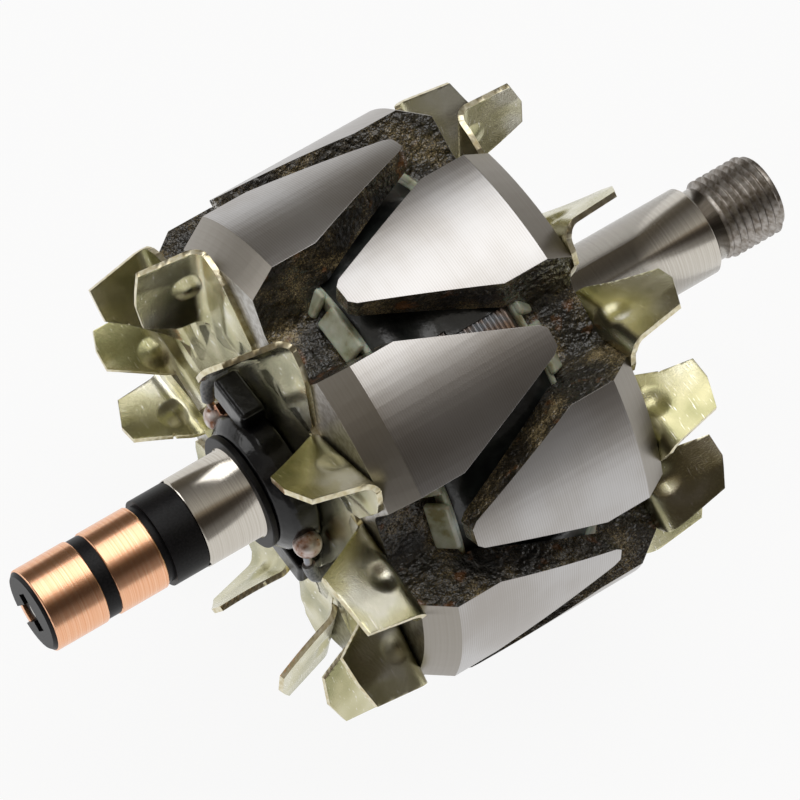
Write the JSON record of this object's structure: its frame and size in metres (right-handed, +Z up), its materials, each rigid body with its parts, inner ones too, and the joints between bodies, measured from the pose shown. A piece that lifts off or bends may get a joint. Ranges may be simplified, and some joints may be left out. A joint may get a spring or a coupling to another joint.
{
  "type": "alternator rotor",
  "caption": "Claw-pole alternator rotor: wound core between two claw poles, a pressed fan at each end, slip rings on one end of the shaft and a thread on the other.",
  "frame": {"origin": "on the shaft axis, halfway between the two claw poles' end faces, which is the middle of the rotor's length to within a fraction of a millimetre", "axes": "+X along the shaft towards the threaded drive end, -X towards the slip rings, +Z up"},
  "size_m": [0.1541, 0.0932, 0.0932],
  "materials": {
    "ground_steel": "ground and turned",
    "turned_pole": "fine turned, varnished flanks",
    "core_steel": "plain",
    "zinc_sheet": "yellow passivated zinc",
    "nylon": "varnished",
    "winding_wire": "enamelled",
    "black_tape": "varnished",
    "copper": "turned",
    "black_moulding": "satin",
    "gloss_moulding": "varnished",
    "sleeve": "varnished",
    "solder": "dull"
  },
  "bodies": {
    "root": {"shaft": "ground_steel", "slip_ring_end_pole": "turned_pole", "drive_end_pole": "turned_pole", "pole_core": "core_steel", "coil_bobbin": "nylon", "field_winding": "winding_wire", "winding_tape": "black_tape", "slip_ring_end_fan": "zinc_sheet", "drive_end_fan": "zinc_sheet", "slip_ring_body": "black_moulding", "outer_slip_ring": "copper", "inner_slip_ring": "copper", "outer_ring_conductor": "copper", "inner_ring_conductor": "copper", "terminal_carrier": "gloss_moulding", "carrier_flange": "black_moulding", "upper_winding_lead": "winding_wire", "lower_winding_lead": "winding_wire", "upper_lead_sleeve": "sleeve", "lower_lead_sleeve": "sleeve", "upper_terminal_hook": "copper", "lower_terminal_hook": "copper", "upper_solder_joint": "solder", "lower_solder_joint": "solder"}
  },
  "joints": []
}
